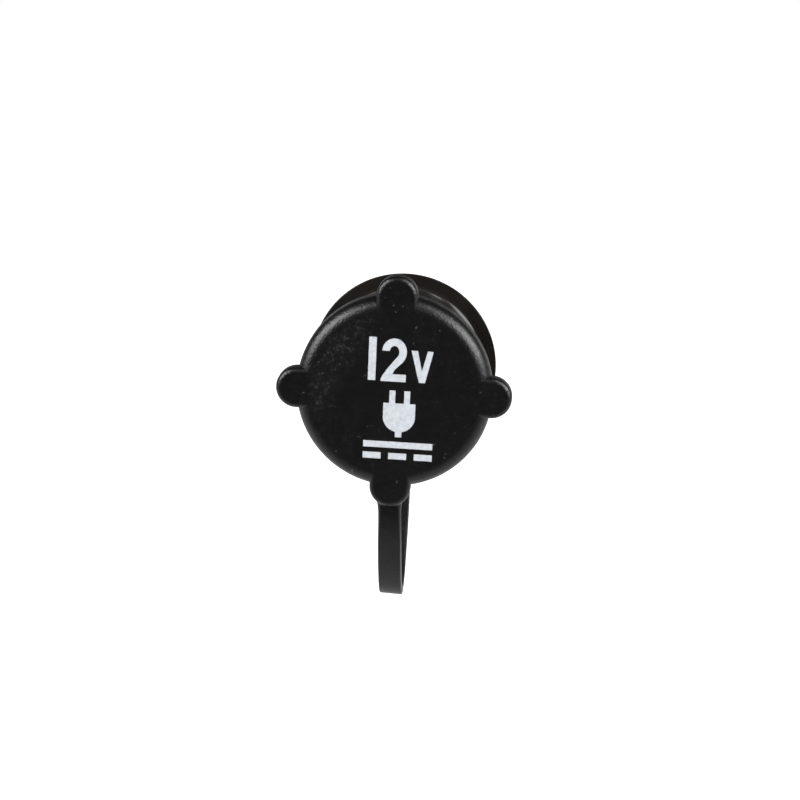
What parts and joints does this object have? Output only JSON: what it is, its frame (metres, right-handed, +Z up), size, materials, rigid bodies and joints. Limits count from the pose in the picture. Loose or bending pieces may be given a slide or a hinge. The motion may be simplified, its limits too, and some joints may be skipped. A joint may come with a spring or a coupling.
{
  "type": "car 12 volt power socket",
  "caption": "Round panel-mount 12 volt accessory socket with a flanged collar, clamping ring nut, blade terminals and a rubber cap on a folded strap.",
  "frame": {"origin": "on the socket's axis in the plane of the panel's front face, where the sealing ring's back lies", "axes": "+Y along the socket's axis to the rear, away from the cap; +Z up, with the strap hanging to -Z; +X to the right as seen from the front"},
  "size_m": [0.0456, 0.0639, 0.0658],
  "materials": {
    "body_plastic": "moulded, soft gloss",
    "plated_steel": "nickel plated",
    "insulator": "moulded, matt",
    "brass": "bare",
    "tinned_brass": "tin plated",
    "zinc_steel": "zinc plated",
    "nut_plastic": "moulded, matt",
    "cap_rubber": "matt, fine grain"
  },
  "bodies": {
    "socket": {"socket_body": "body_plastic", "contact_sleeve": "plated_steel", "base_insulator": "insulator", "centre_contact": "brass", "positive_terminal": "tinned_brass", "negative_terminal": "tinned_brass", "negative_rivet": "brass", "base_screws": "zinc_steel", "tether_ring": "cap_rubber", "tether_strap": "cap_rubber"},
    "cap": {"cap": "cap_rubber"},
    "nut": {"ring_nut": "nut_plastic"}
  },
  "joints": [
    {"name": "cap_swing", "type": "hinge", "parent": "socket", "child": "cap", "pos_m": [-0.001, -0.0213, -0.0386], "axis": [1, 0, 0], "range_deg": [0, 150], "deforming": ["tether_strap"]},
    {"name": "nut_travel", "type": "slide", "parent": "socket", "child": "nut", "axis": [0, 1, 0], "range_m": [-0.0023, 0.045]}
  ]
}
